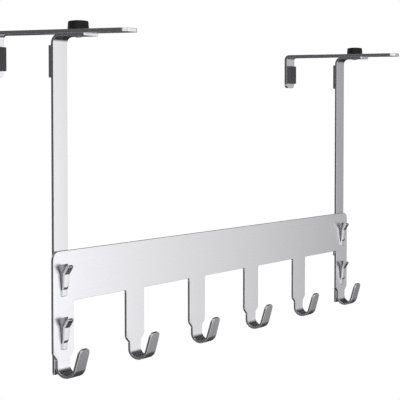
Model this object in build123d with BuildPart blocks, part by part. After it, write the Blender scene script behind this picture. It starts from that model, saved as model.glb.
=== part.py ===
from build123d import *

import os
from math import cos, radians, sin, tan

os.makedirs("parts", exist_ok=True)

# Frame: X runs along the rack, Y points into the door, Z up.
# Y = 0 is the face of the door and Z = 0 its top. Sizes are in mm, angles in degrees.

# Rack plate
sheet = 1.5
rack_length = 400
strip_height = 26.8
strip_bottom_z = -140
strip_corner_radius = 5
hook_count = 6
leg_width = 20
leg_root_radius = 1.5
neck_width = 12.2
shoulder_top_z = -166.7
shoulder_height = 3.1
shoulder_radius = 1

# J hooks
hook_inner_radius = 4.5
hook_centre_z = -173.5
tip_lean = 16
tip_length = 11.4
tip_width = 9.8
tip_corner_radius = 3

# Small hooks lanced out of the end legs
lance_top_z = -120.3
lance_pitch = 28
window_height = 13.5
window_width = 5.6
ear_width = 9.4
ear_height = 3.6
window_radius = 0.4
tongue_root_width = 4.5
tongue_tip_width = 5.4
tongue_lean = 5
root_height = 3.3
root_push = 0.75
tongue_push = 1.75
jog_bottom = 0.4
jog_height = 1.2
tongue_straight = 6.8
flare_length = 5
flare_angle = 31
tongue_bend_radius = 0.6

# Pads between the metal and the door
pad_thickness = 1.5
upper_pad_top_z = -6
upper_pad_height = 16.8
lower_pad_top_z = -137
lower_pad_height = 7
lower_pad_width = 10.8

# Straps
strap_width = 13.6
strap_bottom_z = -177.8
strap_inner_radius = 3.5
strap_corner_radius = 1
flange_front_y = -22.1

# Clamp plates, drawn on a door 35 thick
plate_thickness = 2
door_thickness = 35
plate_front_y = -46.4
plate_corner_radius = 3.2
lip_bottom_z = -22
slot_travel_back = 20
slot_travel_front = 20

# Clamp screws and knobs
screw_diameter = 4
screw_y = -14
screw_below_flange = 0.6
screw_tip_chamfer = 0.4
thread_clearance = 0.05
slot_clearance = 0.5
knob_diameter = 11.2
knob_top_diameter = 10.6
knob_height = 4.8
knob_dome = 0.5
knob_edge_radius = 0.8
screw_in_knob = 3

# Places derived from the sizes above
strap_back_y = -pad_thickness
rack_back_y = strap_back_y - sheet
rack_front_y = rack_back_y - sheet
leg_pitch = (rack_length - leg_width) / (hook_count - 1)
end_leg_x = (rack_length - leg_width) / 2
shoulder_bottom_z = shoulder_top_z - shoulder_height
hook_outer_radius = hook_inner_radius + sheet
hook_centre_y = rack_back_y - hook_outer_radius
hook_turn = 180 - tip_lean
tip_reach = hook_outer_radius * cos(radians(tip_lean)) + tip_length * sin(radians(tip_lean))
window_bottom = -window_height
root_bottom = window_bottom - root_height
lean = tan(radians(tongue_lean))
root_foot_y = rack_front_y - root_push
jog_start = window_bottom + jog_bottom
root_head_y = root_foot_y - (jog_start - root_bottom) * lean
jog_top = jog_start + jog_height
tongue_foot_y = rack_front_y - tongue_push
flare_start = jog_top + tongue_straight
tongue_head_y = tongue_foot_y - tongue_straight * lean
flare_tip_y = tongue_head_y - flare_length * sin(radians(flare_angle))
flare_tip = flare_start + flare_length * cos(radians(flare_angle))
lip_inner_y = door_thickness + pad_thickness
slot_width = screw_diameter + slot_clearance

# J hook: a bent strip, then tapered from the neck to the tip as seen from above
with BuildPart() as j_hook:
    with BuildSketch(Plane.YZ):
        with BuildLine():
            back = JernArc(
                start=(rack_back_y, hook_centre_z),
                tangent=(0, -1),
                radius=hook_outer_radius,
                arc_size=-hook_turn,
            )
            back_tip = Line(back @ 1, back @ 1 + (back % 1) * tip_length)
            front = JernArc(
                start=(rack_front_y, hook_centre_z),
                tangent=(0, -1),
                radius=hook_inner_radius,
                arc_size=-hook_turn,
            )
            front_tip = Line(front @ 1, front @ 1 + (front % 1) * tip_length)
            Line(back @ 0, front @ 0)
            Line(back_tip @ 1, front_tip @ 1)
        make_face()
    extrude(amount=neck_width / 2, both=True)
    with BuildSketch(Plane.XY.offset(hook_centre_z)):
        Polygon(
            (neck_width / 2, rack_back_y),
            (neck_width / 2, rack_front_y),
            (tip_width / 2, hook_centre_y - tip_reach),
            (-tip_width / 2, hook_centre_y - tip_reach),
            (-neck_width / 2, rack_front_y),
            (-neck_width / 2, rack_back_y),
            align=None,
        )
    extrude(amount=hook_outer_radius + tip_length, both=True, mode=Mode.INTERSECT)
    tip_end = j_hook.faces().sort_by(Axis.Y)[0]
    fillet(tip_end.edges().group_by(SortBy.LENGTH)[0], radius=tip_corner_radius)

# Lanced hook: a tongue that stays joined at its foot, pushed out in two steps and flared on top
with BuildPart() as lanced_hook:
    with BuildSketch(Plane.YZ):
        with BuildLine():
            FilletPolyline(
                (root_foot_y, root_bottom),
                (root_head_y, jog_start),
                (tongue_foot_y, jog_top),
                (tongue_head_y, flare_start),
                (flare_tip_y, flare_tip),
                radius=[tongue_bend_radius, tongue_bend_radius + sheet, tongue_bend_radius],
            )
            offset(amount=sheet, side=Side.RIGHT)
        make_face()
    extrude(amount=tongue_tip_width / 2, both=True)
    with BuildSketch(Plane.XZ):
        Polygon(
            (tongue_root_width / 2, root_bottom),
            (tongue_root_width / 2, window_bottom),
            (tongue_tip_width / 2, 0),
            (-tongue_tip_width / 2, 0),
            (-tongue_root_width / 2, window_bottom),
            (-tongue_root_width / 2, root_bottom),
            align=None,
        )
    extrude(amount=-2 * flare_tip_y, mode=Mode.INTERSECT)

# Rack plate: the cut blank, then the windows, and the hooks that are bent out of it
lance_spots = [(side * end_leg_x, lance_top_z - step * lance_pitch) for side in (-1, 1) for step in (0, 1)]
with BuildPart() as hook_rack:
    with BuildSketch(Plane.XZ.offset(-rack_back_y)) as blank:
        with Locations((0, strip_bottom_z)):
            Rectangle(rack_length, strip_height, align=(Align.CENTER, Align.MIN))
        with GridLocations(leg_pitch, 1, hook_count, 1):
            Polygon(
                (leg_width / 2, strip_bottom_z),
                (leg_width / 2, shoulder_top_z),
                (neck_width / 2, shoulder_bottom_z),
                (neck_width / 2, hook_centre_z),
                (-neck_width / 2, hook_centre_z),
                (-neck_width / 2, shoulder_bottom_z),
                (-leg_width / 2, shoulder_top_z),
                (-leg_width / 2, strip_bottom_z),
                align=None,
            )
        fillet(blank.vertices().group_by(Axis.Y)[-1], radius=strip_corner_radius)
        fillet(blank.vertices().group_by(Axis.Y)[3], radius=leg_root_radius)
        fillet(blank.vertices().group_by(Axis.Y)[2], radius=shoulder_radius)
        fillet(blank.vertices().group_by(Axis.Y)[1], radius=shoulder_radius)
    extrude(amount=sheet)
    with BuildSketch(Plane.XZ.offset(-rack_back_y)) as windows:
        with Locations(*lance_spots):
            Polygon(
                (ear_width / 2, 0),
                (-ear_width / 2, 0),
                (-window_width / 2, -ear_height),
                (-window_width / 2, window_bottom),
                (window_width / 2, window_bottom),
                (window_width / 2, -ear_height),
                align=None,
            )
        fillet(windows.vertices(), radius=window_radius)
    extrude(amount=sheet, mode=Mode.SUBTRACT)
    with BuildSketch(Plane.XZ.offset(-rack_back_y)):
        with Locations(*lance_spots):
            with Locations((0, root_bottom)):
                Rectangle(tongue_root_width, root_height, align=(Align.CENTER, Align.MIN))
    extrude(amount=root_push, mode=Mode.SUBTRACT)
    with Locations(*[(x, 0, z) for x, z in lance_spots]):
        add(lanced_hook.part)
    with GridLocations(leg_pitch, 1, hook_count, 1):
        add(j_hook.part)
hook_rack.part.label = "hook_rack"

# Straps: bent towards the front at the top, with a threaded hole in the flange
with BuildPart() as left_strap:
    with BuildSketch(Plane.YZ.offset(-end_leg_x)):
        with BuildLine():
            FilletPolyline(
                (strap_back_y, strap_bottom_z),
                (strap_back_y, 0),
                (flange_front_y, 0),
                radius=strap_inner_radius + sheet,
            )
            offset(amount=sheet, side=Side.LEFT)
        make_face()
    extrude(amount=strap_width / 2, both=True)
    strap_foot = left_strap.faces().sort_by(Axis.Z)[0]
    fillet(strap_foot.edges().group_by(SortBy.LENGTH)[0], radius=strap_corner_radius)
    with Locations((-end_leg_x, screw_y, 0)):
        Hole(radius=screw_diameter / 2 + thread_clearance)
left_strap.part.label = "left_strap"

with BuildPart() as right_strap:
    mirror(left_strap.part, about=Plane.YZ)
right_strap.part.label = "right_strap"

# Clamp plates: flat over the flange and the door, turned down behind it, slotted for the screw
with BuildPart() as left_clamp_plate:
    with BuildSketch(Plane.YZ.offset(-end_leg_x)):
        with BuildLine():
            FilletPolyline(
                (plate_front_y, 0),
                (lip_inner_y, 0),
                (lip_inner_y, lip_bottom_z),
                radius=pad_thickness,
            )
            offset(amount=plate_thickness, side=Side.LEFT)
        make_face()
    extrude(amount=strap_width / 2, both=True)
    nose = left_clamp_plate.faces().sort_by(Axis.Y)[0]
    fillet(nose.edges().filter_by(Axis.Z), radius=plate_corner_radius)
    lip_end = left_clamp_plate.faces().sort_by(Axis.Z)[0]
    fillet(lip_end.edges().filter_by(Axis.Y), radius=plate_corner_radius)
    with BuildSketch(Plane.XY):
        with Locations((-end_leg_x, screw_y + (slot_travel_front - slot_travel_back) / 2)):
            SlotCenterToCenter(slot_travel_back + slot_travel_front, slot_width, rotation=90)
    extrude(amount=plate_thickness, mode=Mode.SUBTRACT)
left_clamp_plate.part.label = "left_clamp_plate"

with BuildPart() as right_clamp_plate:
    mirror(left_clamp_plate.part, about=Plane.YZ)
right_clamp_plate.part.label = "right_clamp_plate"

# Clamp screw: plain thread size, chamfered end, its head moulded into the knob
with BuildPart() as left_clamp_screw:
    with BuildSketch(Plane.XY.offset(-sheet - screw_below_flange)):
        with Locations((-end_leg_x, screw_y)):
            Circle(screw_diameter / 2)
    extrude(amount=screw_below_flange + sheet + plate_thickness + screw_in_knob)
    chamfer(left_clamp_screw.faces().sort_by(Axis.Z)[0].edges(), length=screw_tip_chamfer)
left_clamp_screw.part.label = "left_clamp_screw"

with BuildPart() as right_clamp_screw:
    mirror(left_clamp_screw.part, about=Plane.YZ)
right_clamp_screw.part.label = "right_clamp_screw"

# Knob: a low turned button with tapered side and slightly domed top
with BuildPart() as left_knob:
    knob_plane = Plane((-end_leg_x, screw_y, plate_thickness), x_dir=(1, 0, 0), z_dir=(0, -1, 0))
    with BuildSketch(knob_plane) as section:
        with BuildLine():
            base = Line((0, 0), (knob_diameter / 2, 0))
            flank = Line(base @ 1, (knob_top_diameter / 2, knob_height - knob_dome))
            crown = TangentArc((0, knob_height), flank @ 1, tangent=(1, 0))
            Line(crown @ 0, base @ 0)
        make_face()
        fillet(section.vertices().sort_by_distance(flank @ 1)[0], radius=knob_edge_radius)
    revolve(axis=Axis((-end_leg_x, screw_y, 0), (0, 0, 1)))
    with Locations((-end_leg_x, screw_y, plate_thickness)):
        Hole(radius=screw_diameter / 2 + thread_clearance, depth=screw_in_knob)
left_knob.part.label = "left_knob"

with BuildPart() as right_knob:
    mirror(left_knob.part, about=Plane.YZ)
right_knob.part.label = "right_knob"

# Pads: under the strap at the top and bottom, and inside the turned-down end of the clamp plate
with BuildPart() as left_upper_pad:
    with BuildSketch(Plane.XZ):
        with Locations((-end_leg_x, upper_pad_top_z)):
            Rectangle(strap_width, upper_pad_height, align=(Align.CENTER, Align.MAX))
    extrude(amount=pad_thickness)
left_upper_pad.part.label = "left_upper_pad"

with BuildPart() as right_upper_pad:
    mirror(left_upper_pad.part, about=Plane.YZ)
right_upper_pad.part.label = "right_upper_pad"

with BuildPart() as left_lower_pad:
    with BuildSketch(Plane.XZ):
        with Locations((-end_leg_x, lower_pad_top_z)):
            Rectangle(lower_pad_width, lower_pad_height, align=(Align.CENTER, Align.MAX))
    extrude(amount=pad_thickness)
left_lower_pad.part.label = "left_lower_pad"

with BuildPart() as right_lower_pad:
    mirror(left_lower_pad.part, about=Plane.YZ)
right_lower_pad.part.label = "right_lower_pad"

with BuildPart() as left_rear_pad:
    with BuildSketch(Plane.XZ.offset(-lip_inner_y)):
        with Locations((-end_leg_x, upper_pad_top_z)):
            Rectangle(
                strap_width,
                upper_pad_top_z - lip_bottom_z - plate_corner_radius,
                align=(Align.CENTER, Align.MAX),
            )
    extrude(amount=pad_thickness)
left_rear_pad.part.label = "left_rear_pad"

with BuildPart() as right_rear_pad:
    mirror(left_rear_pad.part, about=Plane.YZ)
right_rear_pad.part.label = "right_rear_pad"

for part in (
    hook_rack.part,
    left_strap.part,
    right_strap.part,
    left_clamp_plate.part,
    right_clamp_plate.part,
    left_clamp_screw.part,
    right_clamp_screw.part,
    left_knob.part,
    right_knob.part,
    left_upper_pad.part,
    right_upper_pad.part,
    left_lower_pad.part,
    right_lower_pad.part,
    left_rear_pad.part,
    right_rear_pad.part,
):
    export_step(part, f"parts/{part.label}.step")
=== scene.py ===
"""Over door coat rack of brushed stainless steel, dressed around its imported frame.

Every shape below is worked out in millimetres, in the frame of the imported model: X runs along the
rack, Y into the door, Z up from the top of the door.
"""

import logging
import math
from dataclasses import dataclass
from enum import Enum

import bmesh
import bpy
import numpy as np
from mathutils.geometry import tessellate_polygon
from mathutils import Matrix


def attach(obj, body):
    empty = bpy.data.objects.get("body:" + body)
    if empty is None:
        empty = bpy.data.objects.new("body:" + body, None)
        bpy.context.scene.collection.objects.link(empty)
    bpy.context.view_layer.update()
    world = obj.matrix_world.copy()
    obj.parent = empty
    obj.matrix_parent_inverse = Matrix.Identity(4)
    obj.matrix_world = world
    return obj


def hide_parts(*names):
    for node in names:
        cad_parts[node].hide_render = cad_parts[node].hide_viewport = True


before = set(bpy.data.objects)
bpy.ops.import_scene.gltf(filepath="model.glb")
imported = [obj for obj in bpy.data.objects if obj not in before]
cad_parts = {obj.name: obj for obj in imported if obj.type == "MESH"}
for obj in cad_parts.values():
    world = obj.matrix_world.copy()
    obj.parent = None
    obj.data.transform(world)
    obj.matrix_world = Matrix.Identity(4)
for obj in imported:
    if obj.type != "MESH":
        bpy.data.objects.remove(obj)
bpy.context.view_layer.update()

LOG = logging.getLogger("over_door_rack")
MM = 0.001
# Points closer than this are one point.
MERGE_MM = 0.001
# Stations of a strip that agree to this many digits of a millimetre are one station.
STATION_DIGITS = 5
# Stations that follow the rounding at a cut end.
END_STATIONS = 9
# Where a clamp screw stands: in line with the middle of the end leg, in front of the door's face.
CLAMP_X = 190.0
CLAMP_Y = -14.0


class Side(Enum):
    """Which end of the rack a piece belongs to; the value is the sign of its X."""

    LEFT = -1
    RIGHT = 1

    @property
    def word(self) -> str:
        """The word that starts the names of this side's pieces."""
        return self.name.lower()


class Axis(Enum):
    """Direction in which a surface was brushed."""

    X = (1.0, 0.0, 0.0)
    Y = (0.0, 1.0, 0.0)
    Z = (0.0, 0.0, 1.0)


class Face(Enum):
    """Which finish a face takes; the value is its place in the piece's list of finishes."""

    BROAD = 0
    CUT = 1


class End(Enum):
    """How a bent strip ends."""

    OPEN = "runs on into the next patch of the same sheet"
    CUT = "cut end with rounded corners and edges"


# ---- Shapes -------------------------------------------------------------------------------------


def unit(vectors: np.ndarray) -> np.ndarray:
    """Each row divided by its length."""
    return vectors / np.linalg.norm(vectors, axis=-1, keepdims=True)


def round_corners(
    corners: np.ndarray, radii: np.ndarray, closed: bool, steps: int = 8
) -> tuple[np.ndarray, np.ndarray]:
    """Line through the corners, with an arc of the given radius at each.

    An arc starts radius * tan(turn / 2) before its corner. Its points are its centre plus the
    radius vector, turned evenly from the first tangent point to the last, and its directions turn
    in the same way.

    Args:
        corners: The corners, N by 2, in mm.
        radii: The radius at each corner; an open line's two ends have none.
        closed: Whether the last corner joins the first.
        steps: Segments in each arc.

    Returns:
        Points and unit directions along the line, M by 2 each.
    """
    if closed:
        arriving = unit(corners - np.roll(corners, 1, axis=0))
        leaving = np.roll(arriving, -1, axis=0)
        inner = corners
    else:
        runs = unit(np.diff(corners, axis=0))
        arriving, leaving, inner = runs[:-1], runs[1:], corners[1:-1]
    radius = np.broadcast_to(radii, len(inner))[:, None]
    turn = np.arccos(np.clip(np.sum(arriving * leaving, axis=1), -1, 1))[:, None]
    centre = inner + unit(leaving - arriving) * radius / np.cos(turn / 2)
    start = inner - arriving * radius * np.tan(turn / 2) - centre
    stop = inner + leaving * radius * np.tan(turn / 2) - centre
    share = np.linspace(0, 1, steps + 1)[None, :]
    first = (np.sin((1 - share) * turn) / np.sin(turn))[..., None]
    last = (np.sin(share * turn) / np.sin(turn))[..., None]
    points = (centre[:, None] + first * start[:, None] + last * stop[:, None]).reshape(-1, 2)
    heading = (first * arriving[:, None] + last * leaving[:, None]).reshape(-1, 2)
    if not closed:
        points = np.concatenate([corners[:1], points, corners[-1:]])
        heading = np.concatenate([arriving[:1], heading, leaving[-1:]])
    apart = np.linalg.norm(points - np.roll(points, 1, axis=0), axis=1) > MERGE_MM
    return points[apart], heading[apart]


@dataclass(frozen=True)
class CutEdge:
    """Edge of a sheet after stamping and tumbling: both of its corners are slightly rounded.

    Where the punch rolls one side over, that side has the larger radius.
    """

    thickness: float
    front_radius: float
    back_radius: float
    steps: int = 3

    @classmethod
    def even(cls, thickness: float, radius: float) -> "CutEdge":
        """Edge with the same radius at both corners."""
        return cls(thickness, radius, radius)

    def profile(self) -> tuple[np.ndarray, np.ndarray]:
        """Profile across the edge: a quarter circle, the flat, and a quarter circle.

        Returns:
            How far each point is set in from the outline, and its depth.
        """
        turn = np.linspace(0, math.pi / 2, self.steps + 1)
        inset, depth = 1 - np.sin(turn), 1 - np.cos(turn)
        front, back = self.front_radius, self.back_radius
        return (
            np.r_[front * inset, back * inset[::-1]],
            np.r_[front * depth, self.thickness - back * depth[::-1]],
        )

    def ring(self, half_width: np.ndarray, away: np.ndarray) -> np.ndarray:
        """Closed cross-sections of a strip, one for each half width.

        A section is a core shape with a quarter circle at each corner. Towards a cut end the
        circles shrink as the end's own rounding draws them in, so the last section is the core.

        Args:
            half_width: Half the strip's width at each station.
            away: How far each station lies from the nearest cut end.

        Returns:
            Stations by points by (across, depth).
        """
        turn = np.linspace(-math.pi / 2, 0, self.steps + 1)
        angle = (turn + np.arange(4)[:, None] * math.pi / 2).reshape(-1)
        sign_x = np.repeat([1, 1, -1, -1], self.steps + 1)
        sign_d = np.repeat([-1, 1, 1, -1], self.steps + 1)
        full = np.where(sign_d < 0, self.front_radius, self.back_radius)
        radius = full - drawn_in(away[:, None], full)
        across = sign_x * (half_width[:, None] - full) + radius * np.cos(angle)
        depth = self.thickness / 2 + sign_d * (self.thickness / 2 - full) + radius * np.sin(angle)
        return np.stack([across, depth], axis=-1)


@dataclass(frozen=True)
class BentLine:
    """Side view of a bent strip: points in the YZ plane, and which way its thickness lies."""

    points: np.ndarray
    inward: np.ndarray

    @classmethod
    def through(
        cls, corners: list[tuple[float, float]], radii: list[float], thickness_side: int
    ) -> "BentLine":
        """Line through corners with bends of these radii.

        Args:
            corners: (y, z) of the ends and of each corner.
            radii: Bend radius at each inner corner.
            thickness_side: 1 if the thickness lies left of the way along the line, -1 if right.

        Returns:
            The bent line.
        """
        points, heading = round_corners(np.array(corners, float), np.array(radii, float), False)
        left = np.stack([-heading[:, 1], heading[:, 0]], axis=1)
        return cls(points, left * thickness_side)

    @property
    def distance(self) -> np.ndarray:
        """How far along the line each point lies."""
        return np.r_[0, np.cumsum(np.linalg.norm(np.diff(self.points, axis=0), axis=1))]

    def at(self, stations: np.ndarray) -> tuple[np.ndarray, np.ndarray]:
        """Reads the line between its points.

        Args:
            stations: Distances along the line.

        Returns:
            The points and the directions of the thickness there.
        """
        known = self.distance
        points = np.stack([np.interp(stations, known, row) for row in self.points.T], axis=1)
        inward = np.stack([np.interp(stations, known, row) for row in self.inward.T], axis=1)
        return points, unit(inward)


class Shell:
    """Patches of one closed surface, gathered as arrays and then merged into a mesh."""

    def __init__(self) -> None:
        """Starts with no points and no faces."""
        self.points: list[np.ndarray] = []
        self.faces: list[list[int]] = []
        self.finish: list[int] = []
        self.count = 0

    def add(self, points: np.ndarray) -> np.ndarray:
        """Adds points with no faces.

        Args:
            points: Any array of (x, y, z).

        Returns:
            The points' indices, in the same layout.
        """
        index = np.arange(points[..., 0].size).reshape(points.shape[:-1]) + self.count
        self.points.append(points.reshape(-1, 3))
        self.count += index.size
        return index

    def grid(
        self,
        points: np.ndarray,
        wrap_u: bool = False,
        wrap_v: bool = False,
        keep: np.ndarray | None = None,
        cut: np.ndarray | bool = False,
    ) -> np.ndarray:
        """Adds a grid of points with a quad in each cell.

        Args:
            points: U by V by 3.
            wrap_u: Whether the last row joins the first.
            wrap_v: Whether the last column joins the first.
            keep: Which cells get a face, or all where it is None.
            cut: Which cells belong to a cut edge.

        Returns:
            The points' indices, U by V.
        """
        index = self.add(points)
        walk = np.concatenate([index, index[:1]]) if wrap_u else index
        walk = np.concatenate([walk, walk[:, :1]], axis=1) if wrap_v else walk
        quads = np.stack([walk[:-1, :-1], walk[1:, :-1], walk[1:, 1:], walk[:-1, 1:]], axis=-1)
        keep = np.full(quads.shape[:2], True) if keep is None else keep
        self.faces.extend(quads[keep].tolist())
        self.finish.extend(np.broadcast_to(cut, keep.shape)[keep].astype(int).tolist())
        return index

    def fill(self, loops: list[np.ndarray], flat: list[np.ndarray]) -> None:
        """Closes the flat area inside the first loop and outside the others with triangles.

        Args:
            loops: Point indices of each loop.
            flat: The same loops' points, drawn flat, N by 2.
        """
        rings = [[(*point, 0.0) for point in loop.tolist()] for loop in flat]
        triangles = np.array(tessellate_polygon(rings))
        self.faces.extend(np.concatenate(loops)[triangles].tolist())
        self.finish.extend([Face.BROAD.value] * len(triangles))

    def close(self, loop: np.ndarray, face: Face = Face.BROAD) -> None:
        """Closes one flat, convex loop with a single face of this kind."""
        self.faces.append(loop.tolist())
        self.finish.append(face.value)

    def mesh(self, name: str) -> bpy.types.Mesh:
        """Merges the patches along their common edges and turns every face outwards.

        Args:
            name: The mesh's name.

        Returns:
            The mesh, in metres.
        """
        mesh = bpy.data.meshes.new(name)
        mesh.from_pydata(np.concatenate(self.points) * MM, [], self.faces)
        mesh.polygons.foreach_set("material_index", self.finish)
        work = bmesh.new()
        work.from_mesh(mesh)
        bmesh.ops.remove_doubles(work, verts=work.verts, dist=MERGE_MM * MM)
        bmesh.ops.recalc_face_normals(work, faces=work.faces)
        work.to_mesh(mesh)
        work.free()
        mesh.shade_smooth()
        return mesh


def cut_sheet(
    shell: Shell,
    outlines: list[np.ndarray],
    edge: CutEdge,
    axes: np.ndarray,
    joined: float,
) -> None:
    """Flat cut sheet with rounded edges.

    The edge's profile is carried round each outline: a point is the outline's point, drawn in
    along its mitre by the inset, at the profile's depth. The two faces are filled flat.

    Args:
        shell: Where the patches go.
        outlines: The outer outline, counter-clockwise, then the holes, clockwise, N by 2.
        edge: The sheet's thickness and edge.
        axes: Origin, first, second and depth axis as the rows of a 4 by 3 array.
        joined: The second coordinate along which the outline is left open for the next patch.
    """
    inset, depth = edge.profile()
    fronts, backs, flats = [], [], []
    for outline in outlines:
        run = np.roll(outline, -1, axis=0) - outline
        normal = unit(np.stack([run[:, 1], -run[:, 0]], axis=1))
        level = np.isclose(outline[:, 1], joined)
        is_open = level & np.roll(level, -1)
        normal[is_open] = 0
        before = np.roll(normal, 1, axis=0)
        mitre = (normal + before) / (1 + np.sum(normal * before, axis=1))[:, None]
        rim = outline[:, None] - inset[None, :, None] * mitre[:, None]
        deep = np.broadcast_to(depth, rim.shape[:2])[..., None]
        points = axes[0] + rim[..., :1] * axes[1] + rim[..., 1:] * axes[2] + deep * axes[3]
        keep = np.repeat(~is_open[:, None], len(inset) - 1, axis=1)
        index = shell.grid(points, wrap_u=True, keep=keep, cut=True)
        fronts.append(index[:, 0])
        backs.append(index[:, -1])
        flats.append(rim[:, 0])
    shell.fill(fronts, flats)
    shell.fill(backs, flats)


def drawn_in(distance: np.ndarray, radius: np.ndarray | float) -> np.ndarray:
    """How much a rounded corner of this radius draws in, at a distance from the end."""
    left = np.clip(radius - distance, 0, radius)
    return radius - np.sqrt(radius**2 - left**2)


def bent_strip(
    shell: Shell,
    line: BentLine,
    centre_x: float,
    widths: np.ndarray,
    edge: CutEdge,
    ends: tuple[End, End],
    corner: float,
) -> None:
    """Strip of sheet bent along a line in the YZ plane.

    Stations stand at the line's own points and, by a cosine rule, close together at a cut end. At
    each one a rounded rectangle lies across the line, as wide as the strip is there.

    Args:
        shell: Where the patches go.
        line: One face of the strip seen from the side.
        centre_x: X of the strip's middle.
        widths: Full width at each point of the line.
        edge: The sheet's thickness and edge.
        ends: How the strip starts and ends.
        corner: Corner radius of a cut end, seen from the front.
    """
    known = line.distance
    length = known[-1]
    easing = 1 - np.cos(np.linspace(0, math.pi / 2, END_STATIONS))
    near = np.outer([corner, edge.front_radius, edge.back_radius], easing).reshape(-1)
    places = [known]
    if ends[0] is End.CUT:
        places.append(near)
    if ends[1] is End.CUT:
        places.append(length - near)
    stations = np.unique(np.round(np.concatenate(places), STATION_DIGITS))
    points, inward = line.at(stations)
    half = np.interp(stations, known, widths) / 2
    nearest = np.full_like(stations, length)
    for kind, away in zip(ends, (stations, length - stations)):
        if kind is End.CUT:
            half = half - drawn_in(away, corner)
            nearest = np.minimum(nearest, away)
    ring = edge.ring(half, nearest)
    side = points[:, None] + ring[..., 1:] * inward[:, None]
    across = centre_x + ring[..., :1]
    # Only the back and the front take the sheet's finish, and not where a cut end rounds them.
    back, front = ring.shape[1] // 2 - 1, -1
    cut = np.full((len(stations) - 1, ring.shape[1]), True)
    rounded = np.array([edge.back_radius, edge.front_radius]) - MERGE_MM
    cut[:, [back, front]] = np.minimum(nearest[:-1], nearest[1:])[:, None] < rounded
    index = shell.grid(np.concatenate([across, side], axis=-1), wrap_v=True, cut=cut)
    for kind, loop in zip(ends, (index[0], index[-1])):
        if kind is End.CUT:
            shell.close(loop, Face.CUT)


def lathe(
    shell: Shell,
    radius: np.ndarray,
    height: np.ndarray,
    centre: tuple[float, float],
    sides: int,
) -> None:
    """Turned shape about a vertical axis.

    A point is the axis plus its radius in the direction of its angle, at its height.

    Args:
        shell: Where the patches go.
        radius: Radius of each row, N, or of each point, N by sides.
        height: Height of each row, N.
        centre: X and Y of the axis.
        sides: Points round the axis.
    """
    angle = np.linspace(0, 2 * math.pi, sides, endpoint=False)
    reach = np.broadcast_to(radius.reshape(len(height), -1), (len(height), sides))
    x = centre[0] + reach * np.cos(angle)
    y = centre[1] + reach * np.sin(angle)
    z = np.broadcast_to(height[:, None], reach.shape)
    index = shell.grid(np.stack([x, y, z], axis=-1), wrap_v=True)
    shell.close(index[0])
    shell.close(index[-1])


# ---- Finishes -----------------------------------------------------------------------------------


def linear(colour: str) -> tuple[float, float, float, float]:
    """Turns an sRGB colour linear.

    Args:
        colour: A hex value such as "#c8c8ca".

    Returns:
        Linear red, green and blue, and full opacity.
    """
    srgb = np.array([int(colour[i : i + 2], 16) for i in (1, 3, 5)]) / 255
    lit = np.where(srgb <= 0.04045, srgb / 12.92, ((srgb + 0.055) / 1.055) ** 2.4)
    return (*lit.tolist(), 1.0)


def add_node(
    tree: bpy.types.NodeTree,
    kind: str,
    settings: dict | None = None,
    links: dict | None = None,
) -> bpy.types.Node:
    """Adds a node with its settings and links.

    Args:
        tree: The node tree.
        kind: The node's type name.
        settings: Values by property name, or by input name or number.
        links: Output sockets by the name or number of the input that they feed.

    Returns:
        The node.
    """
    node = tree.nodes.new(kind)
    for key, value in (settings or {}).items():
        if isinstance(key, str) and hasattr(node, key):
            setattr(node, key, value)
        else:
            node.inputs[key].default_value = value
    for key, source in (links or {}).items():
        tree.links.new(source, node.inputs[key])
    return node


def new_material(name: str) -> tuple[bpy.types.Material, bpy.types.NodeTree]:
    """Starts a material.

    Args:
        name: The material's name.

    Returns:
        The material and its node tree, which is empty.
    """
    material = bpy.data.materials.new(name)
    material.use_nodes = True
    material.node_tree.nodes.clear()
    return material, material.node_tree


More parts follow.
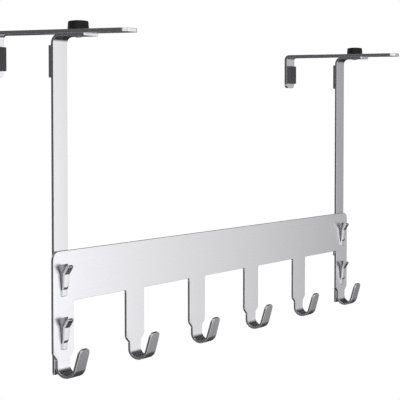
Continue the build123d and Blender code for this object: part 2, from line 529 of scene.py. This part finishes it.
@dataclass(frozen=True)
class BrushedStainless:
    """Stainless steel sheet, brushed with a belt: fine straight lines that blur across the grain.

    The eye sees a bright satin face with faint streaks along the grain. The highlights spread
    across it, and cut edges look dark or white as they turn to the room.
    """

    name: str
    grain: Axis
    colour: str = "#e6e6ea"
    streak_colour: str = "#e3e3e6"
    roughness: float = 0.27
    roughness_spread: float = 0.015
    anisotropy: float = 0.6
    # The real lines are about 0.05 mm apart, too fine to show, so they are drawn 0.5 mm apart.
    line_mm: float = 0.5
    stroke_mm: float = 60.0
    line_detail: float = 3.0
    line_breakup: float = 0.65
    bump: float = 0.015
    bump_mm: float = 0.02
    # Painted shade: the face under the rack plate, which shows in the windows, is painted a darker
    # grey and made rougher; the patch lies in front of this depth and between these heights.
    painted_shade_front: float | None = None
    painted_shade_span: tuple[float, float] = (0.0, 0.0)
    painted_shade_colour: str = "#c0c0c3"
    painted_shade_roughness: float = 0.6

    def material(self) -> bpy.types.Material:
        """Builds the finish: noise stretched along the grain tints, dulls and raises the steel.

        Returns:
            The material.
        """
        material, tree = new_material(self.name)
        along = np.array(self.grain.value)
        scale = along / (self.stroke_mm * MM) + (1 - along) / (self.line_mm * MM)
        coords = add_node(tree, "ShaderNodeTexCoord")
        place = add_node(
            tree,
            "ShaderNodeMapping",
            {"Scale": scale.tolist()},
            {"Vector": coords.outputs["Object"]},
        )
        lines = add_node(
            tree,
            "ShaderNodeTexNoise",
            {"Scale": 1.0, "Detail": self.line_detail, "Roughness": self.line_breakup},
            {"Vector": place.outputs["Vector"]},
        )
        streak = add_node(
            tree,
            "ShaderNodeMix",
            {"data_type": "RGBA", 6: linear(self.colour), 7: linear(self.streak_colour)},
            {0: lines.outputs["Fac"]},
        )
        rough = add_node(
            tree,
            "ShaderNodeMapRange",
            {
                "To Min": self.roughness - self.roughness_spread,
                "To Max": self.roughness + self.roughness_spread,
            },
            {"Value": lines.outputs["Fac"]},
        )
        colour, dullness = streak.outputs[2], rough.outputs["Result"]
        # Painted shade: a darker grey, rougher patch on the face that lies under the rack plate.
        if self.painted_shade_front is not None:
            in_painted_shade = self.painted_shade_mask(tree, coords.outputs["Object"])
            tinted = add_node(
                tree,
                "ShaderNodeMix",
                {"data_type": "RGBA", 7: linear(self.painted_shade_colour)},
                {0: in_painted_shade, 6: colour},
            )
            dulled = add_node(
                tree, "ShaderNodeMix", {3: self.painted_shade_roughness}, {0: in_painted_shade, 2: dullness}
            )
            colour, dullness = tinted.outputs[2], dulled.outputs[0]
        relief = add_node(
            tree,
            "ShaderNodeBump",
            {"Strength": self.bump, "Distance": self.bump_mm * MM},
            {"Height": lines.outputs["Fac"]},
        )
        blur = Axis.Z if self.grain is not Axis.Z else Axis.X
        spread = add_node(
            tree,
            "ShaderNodeVectorTransform",
            {
                "vector_type": "VECTOR",
                "convert_from": "OBJECT",
                "convert_to": "WORLD",
                "Vector": blur.value,
            },
        )
        surface = add_node(
            tree,
            "ShaderNodeBsdfPrincipled",
            {"Metallic": 1.0, "Anisotropic": self.anisotropy},
            {
                "Base Color": colour,
                "Roughness": dullness,
                "Normal": relief.outputs["Normal"],
                "Tangent": spread.outputs["Vector"],
            },
        )
        add_node(tree, "ShaderNodeOutputMaterial", links={"Surface": surface.outputs["BSDF"]})
        return material

    def painted_shade_mask(
        self, tree: bpy.types.NodeTree, place: bpy.types.NodeSocket
    ) -> bpy.types.NodeSocket:
        """Adds the nodes that find the patch of painted shade on the face under the rack plate.

        Args:
            tree: The material's nodes.
            place: The point of the surface, in metres.

        Returns:
            A value that is 1 on the patch and 0 elsewhere.
        """
        sides = add_node(tree, "ShaderNodeSeparateXYZ", links={"Vector": place})
        low, high = self.painted_shade_span
        at_height = add_node(
            tree,
            "ShaderNodeMath",
            {"operation": "COMPARE", 1: (low + high) / 2 * MM, 2: (high - low) / 2 * MM},
            {0: sides.outputs["Z"]},
        )
        on_face = add_node(
            tree,
            "ShaderNodeMath",
            {"operation": "LESS_THAN", 1: self.painted_shade_front * MM},
            {0: sides.outputs["Y"]},
        )
        in_painted_shade = add_node(
            tree,
            "ShaderNodeMath",
            {"operation": "MULTIPLY"},
            {0: at_height.outputs[0], 1: on_face.outputs[0]},
        )
        return in_painted_shade.outputs[0]


@dataclass(frozen=True)
class Grained:
    """Surface with a fine even grain: moulded plastic, foam rubber, tumbled or plated steel."""

    name: str
    colour: str
    dust_colour: str
    roughness: float
    grain_mm: float
    bump: float
    metallic: float = 0.0
    specular: float = 0.5
    grain_detail: float = 2.0
    grain_breakup: float = 0.6
    bump_mm: float = 0.1

    def material(self) -> bpy.types.Material:
        """Builds the finish: noise of the grain's size tints and raises the surface.

        Returns:
            The material.
        """
        material, tree = new_material(self.name)
        coords = add_node(tree, "ShaderNodeTexCoord")
        grain = add_node(
            tree,
            "ShaderNodeTexNoise",
            {
                "Scale": 1 / (self.grain_mm * MM),
                "Detail": self.grain_detail,
                "Roughness": self.grain_breakup,
            },
            {"Vector": coords.outputs["Object"]},
        )
        tint = add_node(
            tree,
            "ShaderNodeMix",
            {"data_type": "RGBA", 6: linear(self.colour), 7: linear(self.dust_colour)},
            {0: grain.outputs["Fac"]},
        )
        relief = add_node(
            tree,
            "ShaderNodeBump",
            {"Strength": self.bump, "Distance": self.bump_mm * MM},
            {"Height": grain.outputs["Fac"]},
        )
        surface = add_node(
            tree,
            "ShaderNodeBsdfPrincipled",
            {
                "Metallic": self.metallic,
                "Roughness": self.roughness,
                "Specular IOR Level": self.specular,
            },
            {"Base Color": tint.outputs[2], "Normal": relief.outputs["Normal"]},
        )
        add_node(tree, "ShaderNodeOutputMaterial", links={"Surface": surface.outputs["BSDF"]})
        return material


# Brushed along the rack: a bright satin face whose shade changes softly from end to end.
RACK_STEEL = BrushedStainless("brushed_stainless_along_rack", Axis.X)
# Lightly brushed strip: a darker and sharper mirror than the rack, with no blur across the grain.
STRAP_STEEL = BrushedStainless(
    "brushed_stainless_along_strap",
    Axis.Z,
    colour="#d4d4d7",
    streak_colour="#cbcbce",
    roughness=0.17,
    anisotropy=0.0,
    # The face under the rack plate gets a darker, rougher patch: painted shade where it shows
    # through the windows.
    painted_shade_front=-2.95,
    painted_shade_span=(-165.0, -114.0),
)
# Brushed along the clamp plate: the rack's satin, its streaks running from the front to the door.
CLAMP_STEEL = BrushedStainless("brushed_stainless_along_clamp", Axis.Y)
# The sheet's cut edges were tumbled smooth: bright, with no lines, so they mirror the room crisply.
EDGE_STEEL = Grained(
    "tumbled_cut_edge",
    "#eaeaec",
    "#dadadd",
    roughness=0.26,
    grain_mm=0.25,
    bump=0.04,
    metallic=1.0,
)
# Moulded nylon: nearly black, with a soft sheen that stays on the rim of the knob.
KNOB_NYLON = Grained(
    "moulded_black_nylon",
    "#0b0b0c",
    "#121213",
    roughness=0.6,
    grain_mm=0.35,
    bump=0.1,
    specular=0.3,
)
# Closed-cell foam rubber, cut from sheet: dull dark grey with a fine open grain.
PAD_FOAM = Grained(
    "cut_foam_rubber", "#3c3c3e", "#4a4a4c", roughness=0.85, grain_mm=0.3, bump=0.35
)
# Zinc-plated steel, rolled thread: a cool grey metal, duller than the sheet.
SCREW_STEEL = Grained(
    "zinc_plated_thread",
    "#b9babd",
    "#9c9da1",
    roughness=0.34,
    grain_mm=0.25,
    bump=0.05,
    metallic=1.0,
)


# ---- Pieces -------------------------------------------------------------------------------------

# Weight at which a point's normal is that of its largest face.
LARGEST_FACE_WINS = 100


def new_object(name: str, data: bpy.types.ID) -> bpy.types.Object:
    """Makes an object and links it to the scene.

    Args:
        name: Its name.
        data: Its mesh, camera or lamp.

    Returns:
        The object.
    """
    thing = bpy.data.objects.new(name, data)
    bpy.context.scene.collection.objects.link(thing)
    return thing


def place_piece(
    shell: Shell,
    name: str,
    materials: list[bpy.types.Material],
    body: str,
    node: str,
) -> bpy.types.Object:
    """Makes a piece of a shell, sets its finish and fixes it in the frame.

    Args:
        shell: The piece's surface.
        name: The piece's name.
        materials: Its finish, and that of its cut edges where it has them.
        body: The moving body that it rides on.
        node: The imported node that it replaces.

    Returns:
        The piece.
    """
    piece = new_object(name, shell.mesh(name))
    for material in materials:
        piece.data.materials.append(material)
    flats = piece.modifiers.new("flat faces keep their light", "WEIGHTED_NORMAL")
    flats.weight = LARGEST_FACE_WINS
    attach(piece, body)
    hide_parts(node)
    LOG.info("%s: %d faces, rides on %s", name, len(piece.data.polygons), body)
    return piece


@dataclass(frozen=True)
class SheetStack:
    """Depths at which the sheets lie in front of the door, and the rack plate's edge."""

    sheet: float = 1.5
    pad: float = 1.5
    edge_radius: float = 0.15
    rolled_radius: float = 0.28

    @property
    def edge(self) -> CutEdge:
        """Stamped edge of the rack plate, rolled over on the side of the door."""
        return CutEdge(self.sheet, self.edge_radius, self.rolled_radius)

    @property
    def strap_front(self) -> float:
        """Y of the straps' front face."""
        return -self.pad - self.sheet

    @property
    def rack_front(self) -> float:
        """Y of the rack plate's front face."""
        return self.strap_front - self.sheet


@dataclass(frozen=True)
class HookRack:
    """The rack plate: strip, legs and J hooks of one sheet, with small hooks lanced out of it."""

    stack: SheetStack = SheetStack()
    length: float = 400.0
    top: float = -113.2
    strip_bottom: float = -140.0
    top_corner: float = 5.0
    legs: int = 6
    leg_width: float = 20.0
    leg_root: float = 1.5
    neck_width: float = 12.2
    shoulder_top: float = -166.7
    shoulder_bottom: float = -169.8
    shoulder_corner: float = 1.0
    hook_centre: float = -173.5
    hook_inner: float = 4.5
    hook_points: int = 25
    tip_lean: float = math.radians(16)
    tip_length: float = 11.4
    tip_width: float = 9.8
    tip_corner: float = 3.0
    lance_tops: tuple[float, float] = (-120.3, -148.3)
    window_height: float = 13.5
    window_width: float = 5.6
    ear_width: float = 9.4
    ear_height: float = 3.6
    window_corner: float = 0.4
    window_steps: int = 3
    tongue_root_width: float = 4.5
    tongue_tip_width: float = 5.4
    tongue_lean: float = math.tan(math.radians(5))
    root_height: float = 3.3
    root_push: float = 0.75
    tongue_push: float = 1.75
    jog_bottom: float = 0.4
    jog_height: float = 1.2
    tongue_straight: float = 6.8
    flare_length: float = 5.0
    flare_angle: float = math.radians(31)
    tongue_bend: float = 0.6
    tongue_edge: float = 0.42
    tongue_corner: float = 0.5

    @property
    def leg_centres(self) -> np.ndarray:
        """X of each leg's middle; the end legs are flush with the strip's ends."""
        reach = (self.length - self.leg_width) / 2
        return np.linspace(-reach, reach, self.legs)

    def outline(self) -> np.ndarray:
        """Outer outline of the flat blank, from the first neck round to the top left corner.

        Returns:
            The points, counter-clockwise.
        """
        leg, neck = self.leg_width / 2, self.neck_width / 2
        half = np.array(
            [
                [-leg, self.strip_bottom],
                [-leg, self.shoulder_top],
                [-neck, self.shoulder_bottom],
                [-neck, self.hook_centre],
            ]
        )
        leg_corners = np.concatenate([half, half[::-1] * [-1, 1]])
        corners = (self.leg_centres[:, None, None] * [1, 0] + leg_corners).reshape(-1, 2)[1:-1]
        shoulder = self.shoulder_corner
        leg_radii = [self.leg_root, shoulder, shoulder, 0, 0, shoulder, shoulder, self.leg_root]
        radii = np.tile(leg_radii, self.legs)[1:-1]
        end = self.length / 2
        corners = np.concatenate([corners, [[end, self.top], [-end, self.top]]])
        return round_corners(corners, np.r_[radii, [self.top_corner] * 2], True)[0]

    def window(self, centre_x: float, top: float) -> np.ndarray:
        """Outline of the window behind a small hook: a slit with two ears on top.

        Args:
            centre_x: X of its middle.
            top: Z of its top.

        Returns:
            The points, clockwise.
        """
        slit, ear = self.window_width / 2, self.ear_width / 2
        corners = np.array(
            [
                [-ear, 0],
                [ear, 0],
                [slit, -self.ear_height],
                [slit, -self.window_height],
                [-slit, -self.window_height],
                [-slit, -self.ear_height],
            ]
        )
        radii = np.full(len(corners), self.window_corner)
        return round_corners(corners + [centre_x, top], radii, True, self.window_steps)[0]

    def j_hook(self, shell: Shell, centre_x: float) -> None:
        """J hook: the neck's sheet goes round an arc and up a tip that leans outwards.

        Its front face follows the arc's centre plus the inner radius times (cos t, -sin t), with t
        from 0 to 180 degrees less the lean, and then the tangent. It narrows evenly towards the
        tip as seen from above.

        Args:
            shell: Where the patches go.
            centre_x: X of the leg's middle.
        """
        turn = np.linspace(0, math.pi - self.tip_lean, self.hook_points)
        outward = np.stack([np.cos(turn), -np.sin(turn)], axis=1)
        centre = np.array([self.stack.rack_front - self.hook_inner, self.hook_centre])
        arc = centre + self.hook_inner * outward
        way = np.array([-math.sin(self.tip_lean), math.cos(self.tip_lean)])
        points = np.concatenate([arc, arc[-1:] + self.tip_length * way])
        line = BentLine(points, np.concatenate([outward, outward[-1:]]))
        middle = (line.points + line.inward * self.stack.sheet / 2)[:, 0]
        full_at = self.stack.rack_front
        widths = np.interp(middle, [middle.min(), full_at], [self.tip_width, self.neck_width])
        ends = (End.OPEN, End.CUT)
        bent_strip(shell, line, centre_x, widths, self.stack.edge, ends, self.tip_corner)

    def tongue(self, shell: Shell, centre_x: float, top: float) -> None:
        """Small hook: a tongue pushed out of its window in two steps and flared at the top.

        Args:
            shell: Where the patches go.
            centre_x: X of its middle.
            top: Z of its window's top.
        """
        bottom = top - self.window_height
        foot_y = self.stack.rack_front - self.root_push
        head_y = foot_y - (self.root_height + self.jog_bottom) * self.tongue_lean
        front_y = self.stack.rack_front - self.tongue_push
        flare_y = front_y - self.tongue_straight * self.tongue_lean
        jog = bottom + self.jog_bottom
        straight = jog + self.jog_height
        flare = straight + self.tongue_straight
        corners = [
            (foot_y, bottom - self.root_height),
            (head_y, jog),
            (front_y, straight),
            (flare_y, flare),
            (
                flare_y - self.flare_length * math.sin(self.flare_angle),
                flare + self.flare_length * math.cos(self.flare_angle),
            ),
        ]
        bend, outer_bend = self.tongue_bend, self.tongue_bend + self.stack.sheet
        line = BentLine.through(corners, [bend, outer_bend, bend], -1)
        widths = np.interp(
            line.points[:, 1], [bottom, top], [self.tongue_root_width, self.tongue_tip_width]
        )
        edge = CutEdge.even(self.stack.sheet, self.tongue_edge)
        ends = (End.CUT, End.CUT)
        bent_strip(shell, line, centre_x, widths, edge, ends, self.tongue_corner)

    def build(self) -> bpy.types.Object:
        """Builds the whole plate as one piece.

        Returns:
            The piece.
        """
        shell = Shell()
        spots = [(x, top) for x in self.leg_centres[[0, -1]] for top in self.lance_tops]
        outlines = [self.outline()] + [self.window(x, top) for x, top in spots]
        axes = np.array([[0, self.stack.rack_front, 0], [1, 0, 0], [0, 0, 1], [0, 1, 0]], float)
        cut_sheet(shell, outlines, self.stack.edge, axes, self.hook_centre)
        for x in self.leg_centres:
            self.j_hook(shell, x)
        for x, top in spots:
            self.tongue(shell, x, top)
        steel = [RACK_STEEL.material(), EDGE_STEEL.material()]
        return place_piece(shell, "rack_plate", steel, "rack", "hook_rack")


@dataclass(frozen=True)
class Hanger:
    """One side's strap and clamp plate, with the pads that keep them off the door."""

    side: Side
    stack: SheetStack = SheetStack()
    width: float = 13.6
    strap_bottom: float = -177.8
    strap_bend: float = 3.5
    strap_corner: float = 1.0
    strap_edge: float = 0.15
    flange_front: float = -22.1
    # Hair of air between the flange and the clamp plate that slides on it.
    play: float = 0.02
    plate_thickness: float = 2.0
    plate_edge: float = 0.15
    plate_front: float = -46.4
    plate_corner: float = 3.2
    door: float = 35.0
    lip_bottom: float = -22.0
    slot_travel: float = 40.0
    slot_width: float = 4.5
    pad_edge: float = 0.35
    upper_pad: tuple[float, float] = (-6.0, -22.8)
    lower_pad: tuple[float, float] = (-137.0, -144.0)
    lower_pad_width: float = 10.8
    rear_pad: tuple[float, float] = (-6.0, -18.8)

    @property
    def x(self) -> float:
        """X of this side's middle."""
        return self.side.value * CLAMP_X

    @property
    def clamp_body(self) -> str:
        """The body that slides on the flange."""
        return f"{self.side.word}_clamp"

    def strap(self, steel: list[bpy.types.Material]) -> None:
        """Strap: up the door, then round a bend towards the front into a short flange.

        Args:
            steel: The sheet's finish and that of its cut edges.
        """
        shell = Shell()
        front, under = self.stack.strap_front, -self.stack.sheet - self.play
        corners = [(front, self.strap_bottom), (front, under), (self.flange_front, under)]
        line = BentLine.through(corners, [self.strap_bend], -1)
        widths = np.full(len(line.points), self.width)
        edge = CutEdge.even(self.stack.sheet, self.strap_edge)
        ends = (End.CUT, End.CUT)
        bent_strip(shell, line, self.x, widths, edge, ends, self.strap_corner)
        name = f"{self.side.word}_strap"
        place_piece(shell, f"{name}_sheet", steel, "rack", name)

    def slot_outline(self) -> np.ndarray:
        """Outline of the clamp plate's slot: a rectangle with half-round ends.

        Returns:
            The points, clockwise.
        """
        reach = (self.slot_travel + self.slot_width) / 2
        half = self.slot_width / 2
        corners = np.array([[-half, -reach], [-half, reach], [half, reach], [half, -reach]])
        return round_corners(corners + [self.x, CLAMP_Y], np.full(len(corners), half), True)[0]

    def clamp_plate(self, steel: list[bpy.types.Material]) -> None:
        """Clamp plate: flat and slotted over the door, then turned down behind it.

        Args:
            steel: The sheet's finish and that of its cut edges.
        """
        shell = Shell()
        edge = CutEdge.even(self.plate_thickness, self.plate_edge)
        half, bend = self.width / 2, self.stack.pad
        corners = [
            [self.x - half, self.plate_front],
            [self.x + half, self.plate_front],
            [self.x + half, self.door],
            [self.x - half, self.door],
        ]
        radii = np.array([self.plate_corner, self.plate_corner, 0, 0])
        outline = round_corners(np.array(corners), radii, True)[0]
        axes = np.array([[0, 0, 0], [1, 0, 0], [0, 1, 0], [0, 0, 1]], float)
        cut_sheet(shell, [outline, self.slot_outline()], edge, axes, self.door)
        inner = self.door + bend
        path = [(self.door, 0), (inner, 0), (inner, self.lip_bottom)]
        line = BentLine.through(path, [bend], 1)
        widths = np.full(len(line.points), self.width)
        bent_strip(shell, line, self.x, widths, edge, (End.OPEN, End.CUT), self.plate_corner)
        name = f"{self.side.word}_clamp_plate"
        place_piece(shell, f"{name}_sheet", steel, self.clamp_body, name)

    def pad(
        self,
        foam: list[bpy.types.Material],
        kind: str,
        y: float,
        span: tuple[float, float],
        width: float,
    ) -> None:
        """Foam pad, a short strip with soft edges.

        Args:
            foam: Its finish.
            kind: Its place in words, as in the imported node's name.
            y: Its front face.
            span: Z of its top and bottom.
            width: Its width.
        """
        shell = Shell()
        line = BentLine(np.array([[y, span[1]], [y, span[0]]]), np.array([[1.0, 0.0]] * 2))
        edge = CutEdge.even(self.stack.pad, self.pad_edge)
        widths = np.full(len(line.points), width)
        bent_strip(shell, line, self.x, widths, edge, (End.CUT, End.CUT), self.pad_edge)
        name = f"{self.side.word}_{kind}_pad"
        body = self.clamp_body if kind == "rear" else "rack"
        place_piece(shell, f"{name}_foam", foam, body, name)

    def build(self) -> None:
        """Builds the strap, the clamp plate and the three pads."""
        edge = EDGE_STEEL.material()
        self.strap([STRAP_STEEL.material(), edge])
        self.clamp_plate([CLAMP_STEEL.material(), edge])
        foam = [PAD_FOAM.material()] * 2
        self.pad(foam, "upper", -self.stack.pad, self.upper_pad, self.width)
        self.pad(foam, "lower", -self.stack.pad, self.lower_pad, self.lower_pad_width)
        self.pad(foam, "rear", self.door, self.rear_pad, self.width)


@dataclass(frozen=True)
class ThumbScrew:
    """Clamp screw with its moulded knob."""

    side: Side
    # A hair above the clamp plate that slides under it.
    knob_bottom: float = 2.02
    knob_radius: float = 5.6
    knob_top_radius: float = 5.3
    knob_height: float = 4.78
    knob_dome: float = 0.5
    knob_rim: float = 0.8
    foot_rim: float = 0.2
    dome_blend: float = 4.0
    # The last ring of the dome, which a flat face closes.
    dome_eye: float = 0.05
    thread_radius: float = 2.0
    thread_pitch: float = 0.7
    thread_depth: float = 0.3
    thread_rows: int = 10
    thread_in_knob: float = 1.0
    tip: float = -2.1
    tip_chamfer: float = 0.4
    sides: int = 96

    @property
    def centre(self) -> tuple[float, float]:
        """X and Y of the axis."""
        return self.side.value * CLAMP_X, CLAMP_Y

    @property
    def body(self) -> str:
        """The body that turns: the screw and the knob on it."""
        return f"{self.side.word}_thumb_screw"

    def knob(self) -> None:
        """Knob: the side leans in a little, the rim is rounded and the top slightly domed.

        The dome has dropped by a quarter of its height half way out to the rim.
        """
        shell = Shell()
        shoulder = self.knob_height - self.knob_dome
        corners = [
            (0, 0),
            (self.knob_radius, 0),
            (self.knob_top_radius, shoulder),
            (self.knob_top_radius / 2, self.knob_height - self.knob_dome / 4),
            (self.dome_eye, self.knob_height),
        ]
        radii = np.array([self.foot_rim, self.knob_rim, self.dome_blend])
        section = round_corners(np.array(corners, float), radii, False)[0][1:]
        lathe(shell, section[:, 0], self.knob_bottom + section[:, 1], self.centre, self.sides)
        name = f"{self.side.word}_knob"
        nylon = [KNOB_NYLON.material()]
        place_piece(shell, f"{name}_moulding", nylon, self.body, name)

    def screw(self) -> None:
        """Screw with a rolled thread.

        The radius drops from the crest by a triangle wave of height over pitch less the angle's
        share of a turn, which is one start of a right-hand thread, and the tip is chamfered.
        """
        shell = Shell()
        top = self.knob_bottom + self.thread_in_knob
        height = np.arange(self.tip, top, self.thread_pitch / self.thread_rows)
        share = np.linspace(0, 1, self.sides, endpoint=False)
        wave = np.abs(np.mod(height[:, None] / self.thread_pitch - share, 1) * 2 - 1)
        crest = self.thread_radius - self.thread_depth * wave
        cone = self.thread_radius - self.tip_chamfer + (height - self.tip)
        lathe(shell, np.minimum(crest, cone[:, None]), height, self.centre, self.sides)
        name = f"{self.side.word}_clamp_screw"
        steel = [SCREW_STEEL.material()]
        place_piece(shell, f"{name}_thread", steel, self.body, name)

    def build(self) -> None:
        """Builds the knob and the screw."""
        self.knob()
        self.screw()


# ---- Studio -------------------------------------------------------------------------------------


@dataclass(frozen=True)
class Curtain:
    """Dark studio curtain: a patch of a large sphere, seen only in the metal's reflections.

    Azimuth runs from +X towards -Y and elevation up from the horizon, in degrees. The radius is in
    metres, and each fade is the width of the soft edge at the start and the end of its span.
    """

    name: str
    azimuth: tuple[float, float]
    elevation: tuple[float, float]
    azimuth_fade: tuple[float, float]
    elevation_fade: tuple[float, float]
    colour: str
    radius: float = 2.5
    columns: int = 73
    rows: int = 49

    def build(self) -> bpy.types.Object:
        """Builds the patch; its fade runs from 0 at its edges to 1 inside.

        A point is the radius times (cos a cos e, -sin a cos e, sin e), with a its azimuth and e
        its elevation.

        Returns:
            The curtain.
        """
        u = np.linspace(*self.azimuth, self.columns)[:, None]
        v = np.linspace(*self.elevation, self.rows)[None, :]
        a, e = np.radians(u), np.radians(v)
        points = self.radius * np.stack(
            [np.cos(a) * np.cos(e), -np.sin(a) * np.cos(e), np.sin(e) + 0 * a], axis=-1
        )
        fade = self.ramp(u, self.azimuth, self.azimuth_fade)
        fade = fade * self.ramp(v, self.elevation, self.elevation_fade)
        shell = Shell()
        shell.grid(points)
        mesh = bpy.data.meshes.new(self.name)
        mesh.from_pydata(points.reshape(-1, 3), [], shell.faces)
        attribute = mesh.attributes.new("fade", "FLOAT", "POINT")
        attribute.data.foreach_set("value", fade.reshape(-1).astype(np.float32))
        mesh.materials.append(self.material())
        cloth = new_object(self.name, mesh)
        cloth.visible_camera = False
        cloth.visible_diffuse = False
        return cloth

    @staticmethod
    def ramp(
        value: np.ndarray, span: tuple[float, float], fade: tuple[float, float]
    ) -> np.ndarray:
        """Smooth rise from 0 to 1 over the fade at each end of the span; a fade of 0 is no rise.

        Args:
            value: Where to work it out.
            span: The ends of the span.
            fade: How far in from each end the rise goes.

        Returns:
            The product of both ends' 3 s^2 - 2 s^3, where s is the share of the fade.
        """
        start = np.clip((value - span[0]) / fade[0], 0, 1) if fade[0] else np.ones_like(value)
        stop = np.clip((span[1] - value) / fade[1], 0, 1) if fade[1] else np.ones_like(value)
        return (start**2 * (3 - 2 * start)) * (stop**2 * (3 - 2 * stop))

    def material(self) -> bpy.types.Material:
        """Flat dark cloth that thins out towards its edges.

        Returns:
            The material.
        """
        material, tree = new_material(f"{self.name}_cloth")
        amount = add_node(tree, "ShaderNodeAttribute", {"attribute_name": "fade"})
        clear = add_node(tree, "ShaderNodeBsdfTransparent")
        cloth = add_node(tree, "ShaderNodeEmission", {"Color": linear(self.colour)})
        mixed = add_node(
            tree,
            "ShaderNodeMixShader",
            links={0: amount.outputs["Fac"], 1: clear.outputs[0], 2: cloth.outputs[0]},
        )
        add_node(tree, "ShaderNodeOutputMaterial", links={"Surface": mixed.outputs[0]})
        return material


@dataclass(frozen=True)
class Lamp:
    """Square soft lamp: where it stands, its side in metres and its power in watts."""

    name: str
    place: tuple[float, float, float]
    size: float
    power: float
    aim: tuple[float, float, float] = (0.0, 0.0, -0.1)

    def build(self) -> None:
        """Hangs the lamp, tilted and turned so that it faces its aim."""
        data = bpy.data.lights.new(self.name, "AREA")
        data.size = self.size
        data.energy = self.power
        lamp = new_object(self.name, data)
        lamp.location = self.place
        way = np.array(self.aim) - np.array(self.place)
        tilt = math.atan2(math.hypot(way[0], way[1]), -way[2])
        lamp.rotation_euler = (tilt, 0, math.atan2(way[1], way[0]) - math.pi / 2)


LAMPS = (
    Lamp("key_lamp", (-0.5, -1.0, 1.7), 1.2, 12.0),
    Lamp("front_lamp", (1.5, -1.8, -0.45), 1.3, 3.2),
)
# The right curtain gives the rack's front its shade from end to end, and the left one the cut
# sides that face left. The upper one and the ceiling darken the bends and the tops, and the last
# two the undersides.
CURTAINS = (
    Curtain("right_curtain", (-46, 32), (-50, 62), (8, 23), (8, 20), "#3a3a3c"),
    Curtain("left_curtain", (174, 256), (-34, 60), (10, 12), (8, 20), "#57575b"),
    Curtain("upper_curtain", (-38, 100), (6, 60), (14, 20), (9, 20), "#39393b"),
    Curtain("ceiling", (0, 360), (35, 90), (0, 0), (12, 0), "#8a8a8c", 2.3),
    Curtain("low_curtain", (-80, 105), (-90, -15), (20, 20), (0, 22), "#39393b", 1.95),
    Curtain("under_curtain", (0, 360), (-90, -38), (0, 0), (0, 14), "#39393b", 1.9),
)


@dataclass(frozen=True)
class Studio:
    """White room with soft lamps, dark curtains for the metal to reflect, and the camera."""

    camera_at: tuple[float, float, float] = (-0.91832, -0.46157, -0.04309)
    camera_tilt: float = 87.1
    camera_turn: float = -62.65
    lens: float = 147.88
    sensor: float = 36.0
    floor_z: float = -2.0
    floor_radius: float = 4.0
    floor_sides: int = 64
    floor_colour: str = "#fbfbfb"
    floor_roughness: float = 0.9

    def camera(self) -> None:
        """Camera at the photograph's viewpoint."""
        data = bpy.data.cameras.new("camera")
        data.lens = self.lens
        data.sensor_width = self.sensor
        camera = new_object("camera", data)
        camera.location = self.camera_at
        camera.rotation_euler = (math.radians(self.camera_tilt), 0, math.radians(self.camera_turn))
        bpy.context.scene.camera = camera

    def world(self) -> None:
        """White room: strength 1 is the white that the camera sees, and lights all evenly."""
        world = bpy.data.worlds.new("white_room")
        bpy.context.scene.world = world
        world.use_nodes = True
        tree = world.node_tree
        tree.nodes.clear()
        sky = add_node(tree, "ShaderNodeBackground", {"Color": (1, 1, 1, 1), "Strength": 1.0})
        add_node(tree, "ShaderNodeOutputWorld", links={"Surface": sky.outputs[0]})

    def floor(self) -> None:
        """Pale round floor where the foot of a door would stand: a ring round a flat face."""
        shell = Shell()
        radius = np.array([[self.floor_radius / 2], [self.floor_radius]]) / MM
        angle = np.linspace(0, 2 * math.pi, self.floor_sides, endpoint=False)
        x, y = radius * np.cos(angle), radius * np.sin(angle)
        points = np.stack([x, y, np.full_like(x, self.floor_z / MM)], axis=-1)
        index = shell.grid(points, wrap_v=True)
        shell.close(index[0])
        floor = new_object("floor", shell.mesh("floor"))
        material, tree = new_material("pale_floor")
        surface = add_node(
            tree,
            "ShaderNodeBsdfPrincipled",
            {
                "Base Color": linear(self.floor_colour),
                "Roughness": self.floor_roughness,
                "Specular IOR Level": 0.0,
            },
        )
        add_node(tree, "ShaderNodeOutputMaterial", links={"Surface": surface.outputs["BSDF"]})
        floor.data.materials.append(material)

    def build(self) -> None:
        """Builds camera, world, floor, lamps and curtains, and sets plain colour management."""
        bpy.context.scene.view_settings.view_transform = "Standard"
        self.camera()
        self.world()
        self.floor()
        for fitting in (*LAMPS, *CURTAINS):
            fitting.build()


def main() -> None:
    """Builds the pieces and the studio."""
    logging.basicConfig(level=logging.INFO, format="%(message)s")
    HookRack().build()
    for side in Side:
        Hanger(side).build()
        ThumbScrew(side).build()
    Studio().build()


if __name__ == "__main__":
    main()
